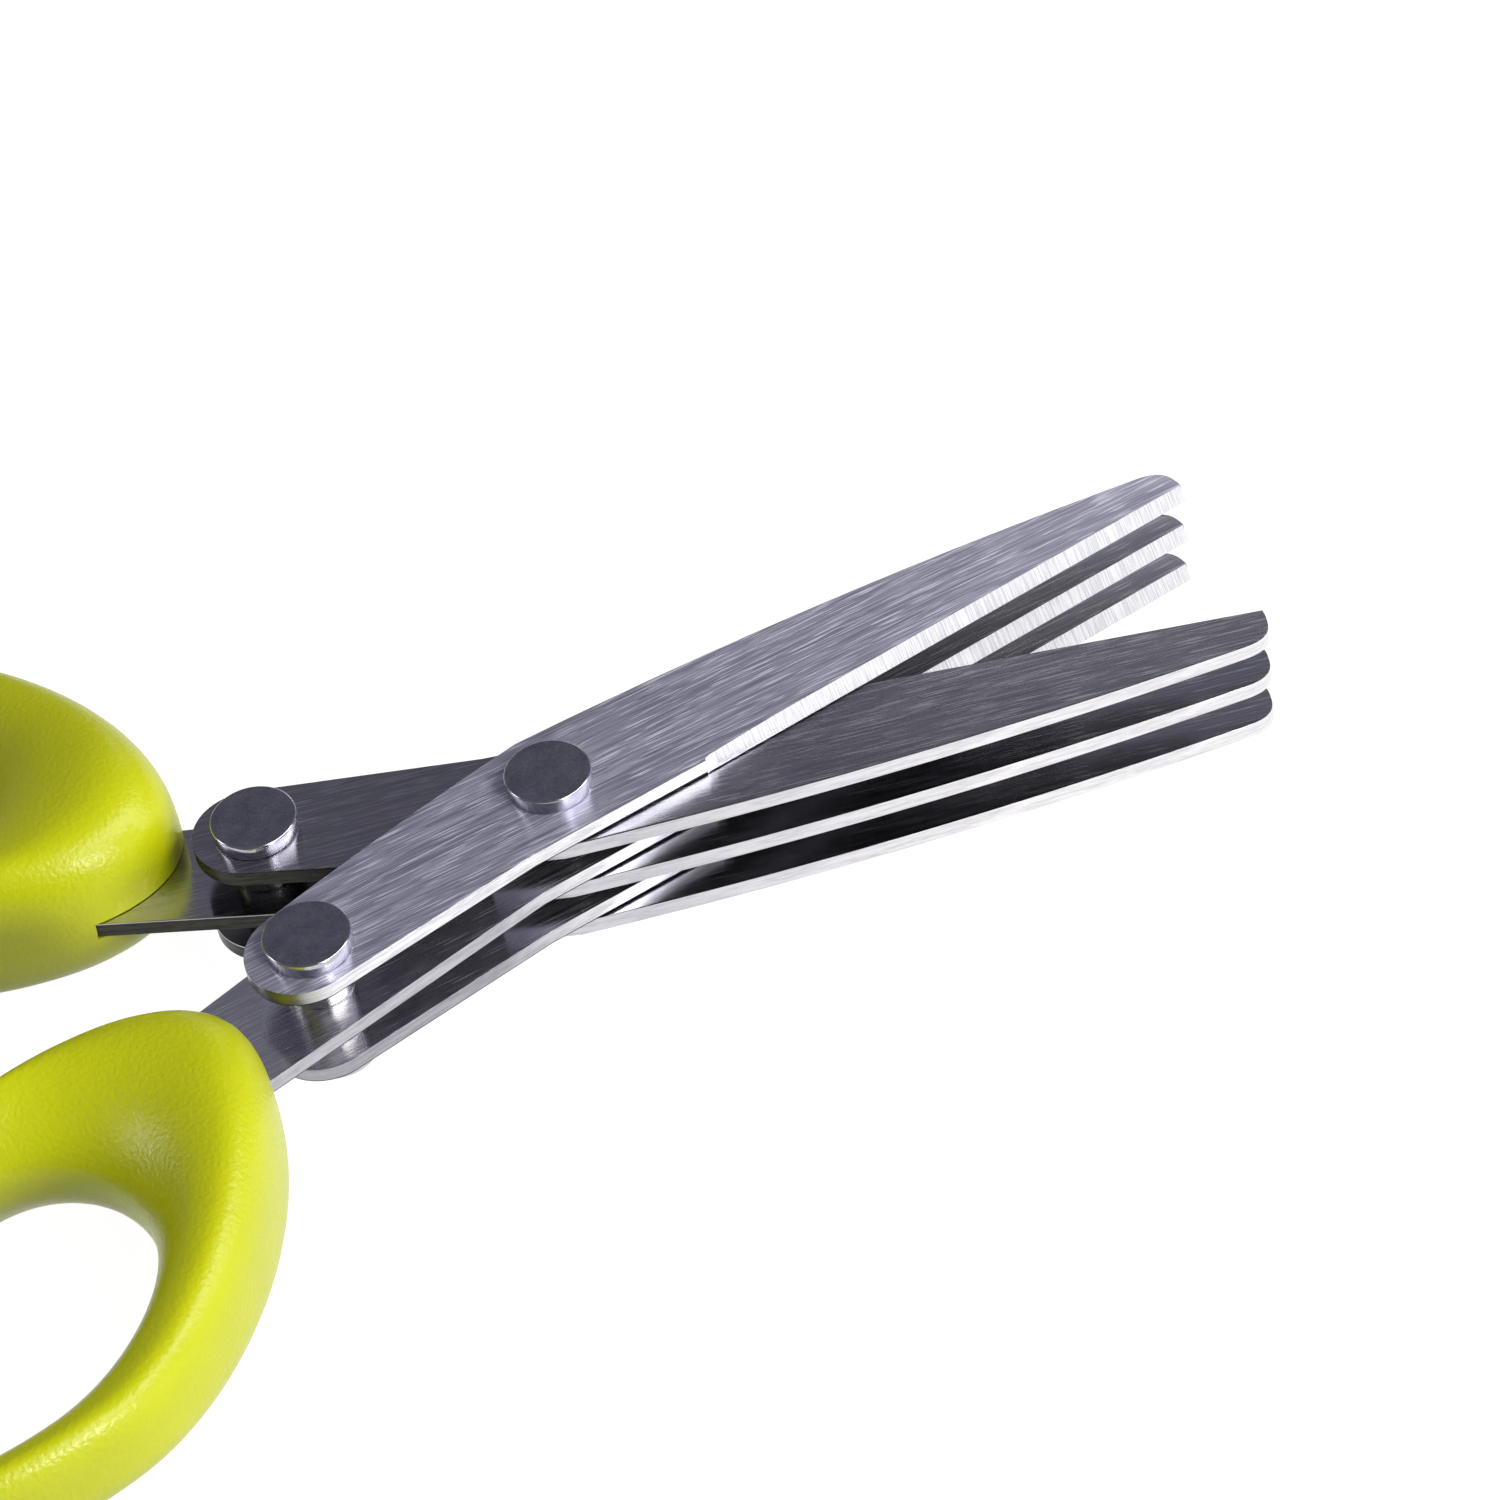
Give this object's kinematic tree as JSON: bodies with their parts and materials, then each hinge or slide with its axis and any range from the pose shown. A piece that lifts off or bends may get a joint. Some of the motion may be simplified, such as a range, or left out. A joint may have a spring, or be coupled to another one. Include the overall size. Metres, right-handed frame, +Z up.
{
  "type": "herb scissors",
  "caption": "Scissors with parallel blades stacked on each side of the pivot and a moulded finger loop on each side, standing open.",
  "frame": {"origin": "centre of the pivot rivet's lower face, on the pivot axis", "axes": "+X midway between the two sets of blades towards their tips, +Y towards the tips of side A, +Z up along the pivot axis"},
  "size_m": [0.1712, 0.1142, 0.0193],
  "materials": {
    "blade_steel": "brushed lengthwise",
    "rivet_steel": "dark satin",
    "spacer_steel": "turned",
    "handle_plastic": "semi-gloss, finely textured"
  },
  "bodies": {
    "side_a": {"a_blade_top": "blade_steel", "a_blade_middle": "blade_steel", "a_blade_bottom": "blade_steel", "a_handle": "handle_plastic", "a_rear_rivet": "rivet_steel", "a_rear_spacer_upper": "spacer_steel", "a_rear_spacer_lower": "spacer_steel", "pivot_rivet": "rivet_steel", "pivot_spacer_upper": "spacer_steel", "pivot_spacer_lower": "spacer_steel"},
    "side_b": {"b_blade_top": "blade_steel", "b_blade_middle": "blade_steel", "b_blade_bottom": "blade_steel", "b_handle": "handle_plastic", "b_rear_rivet": "rivet_steel", "b_rear_spacer_upper": "spacer_steel", "b_rear_spacer_lower": "spacer_steel"}
  },
  "joints": [
    {"name": "pivot_hinge", "type": "hinge", "parent": "side_a", "child": "side_b", "pos_m": [0, 0, 0], "axis": [0, 0, 1], "range_deg": [-50, 16]}
  ]
}
